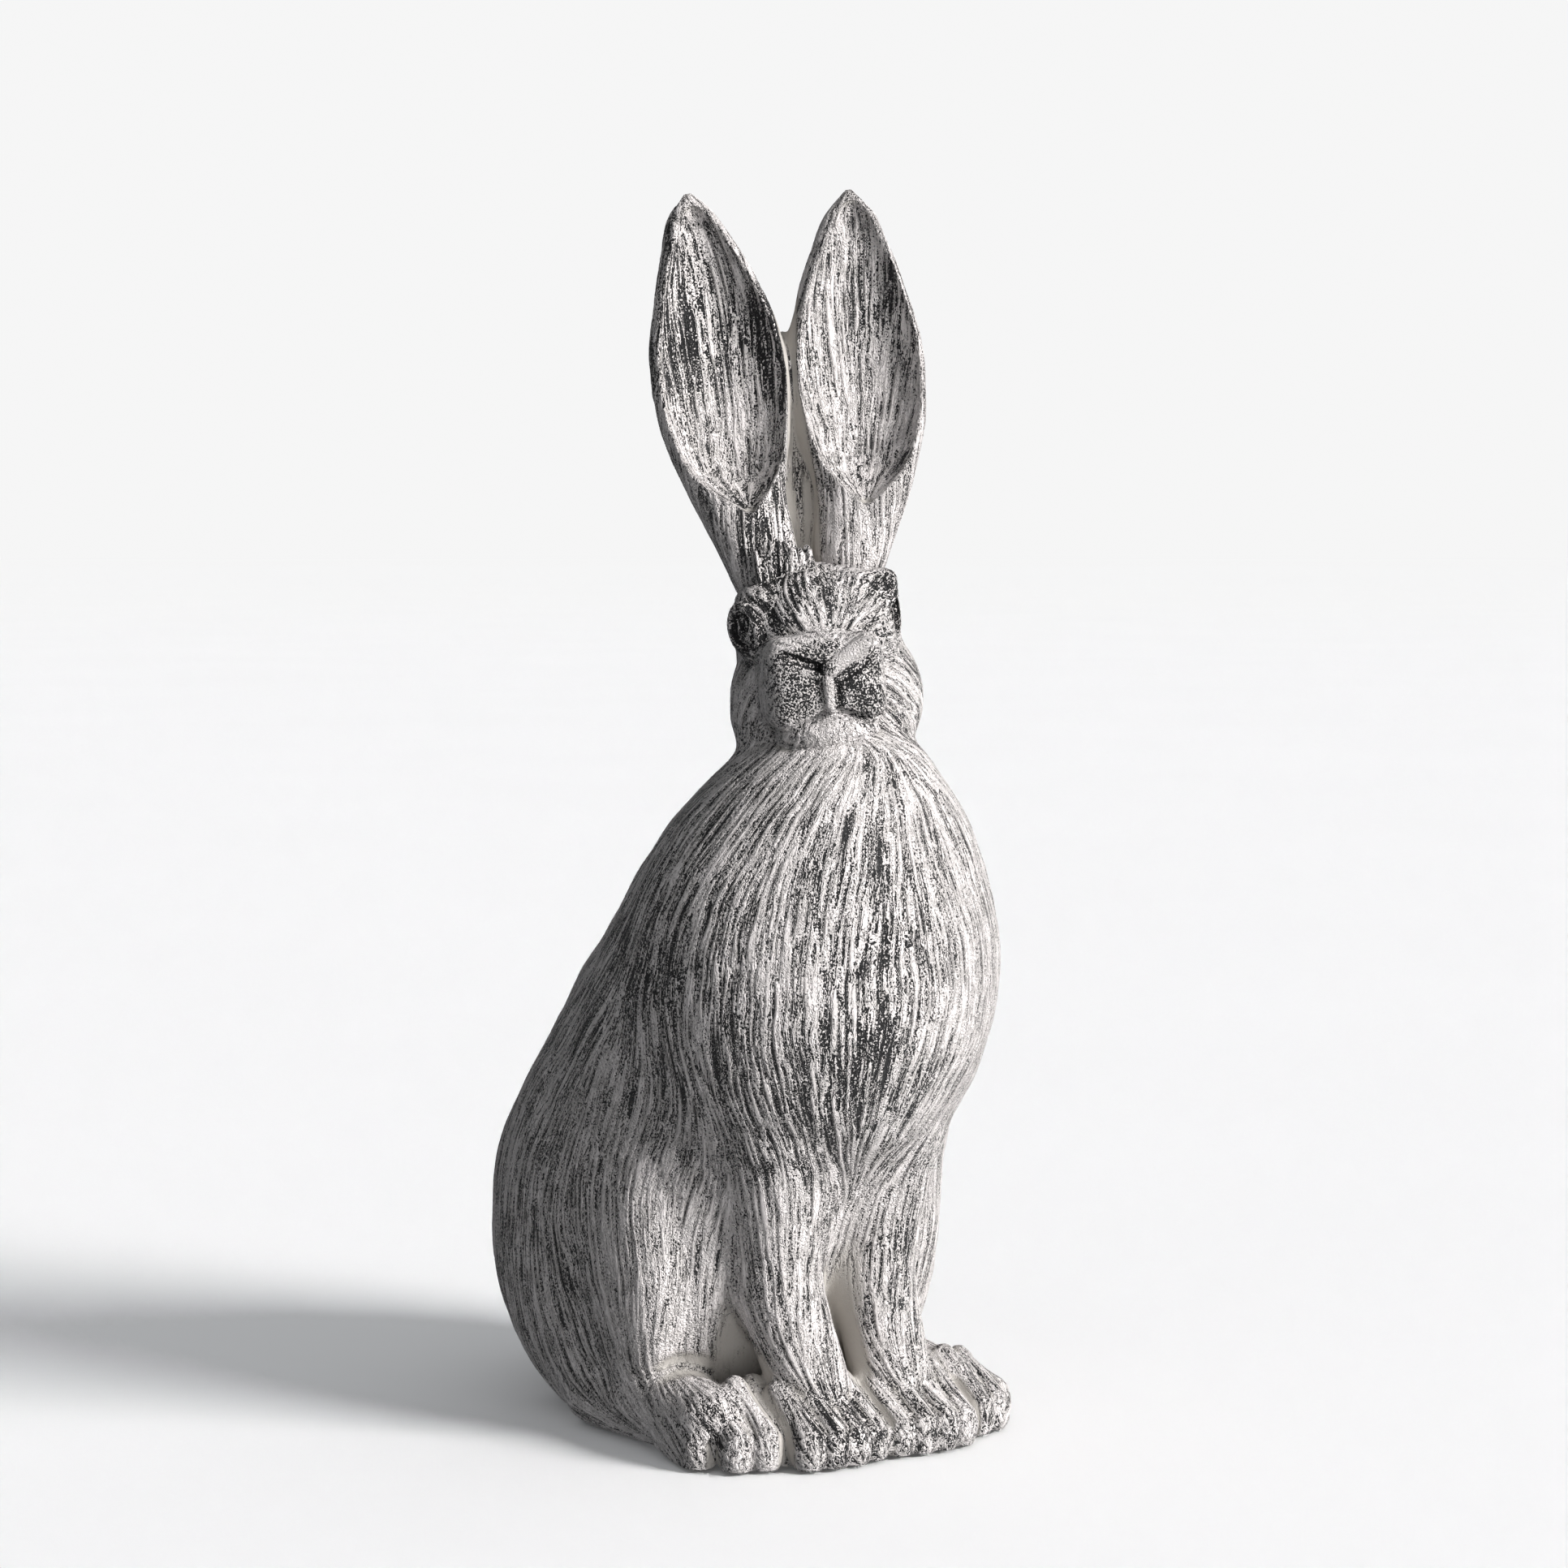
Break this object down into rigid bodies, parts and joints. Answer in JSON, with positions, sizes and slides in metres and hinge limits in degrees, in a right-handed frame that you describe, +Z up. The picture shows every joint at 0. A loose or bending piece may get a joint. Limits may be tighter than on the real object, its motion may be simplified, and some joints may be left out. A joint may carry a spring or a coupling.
{
  "type": "hare statue",
  "caption": "Free-standing seated hare figure, a hollow cast body with upright cupped ears, brushed fur relief and a flat underside on felt pads.",
  "frame": {"origin": "middle of the figure's footprint, at the underside of its felt pads", "axes": "+Z up, the hare's body faces -Y, and its own left side is +X"},
  "size_m": [0.1358, 0.2, 0.4008],
  "materials": {
    "cast_stone": "matte whitewash over dark grey, tooled",
    "rod_steel": "plain drawn rod",
    "plate_board": "sealed fibreboard, matte",
    "plug_rubber": "matte",
    "pad_felt": "felt"
  },
  "bodies": {
    "root": {"body_shell": "cast_stone", "ear_pair": "cast_stone", "ear_rod_right": "rod_steel", "ear_rod_left": "rod_steel", "base_plate": "plate_board", "vent_plug": "plug_rubber", "pad_foot_right": "pad_felt", "pad_foot_left": "pad_felt", "pad_rump_right": "pad_felt", "pad_rump_left": "pad_felt"}
  },
  "joints": []
}
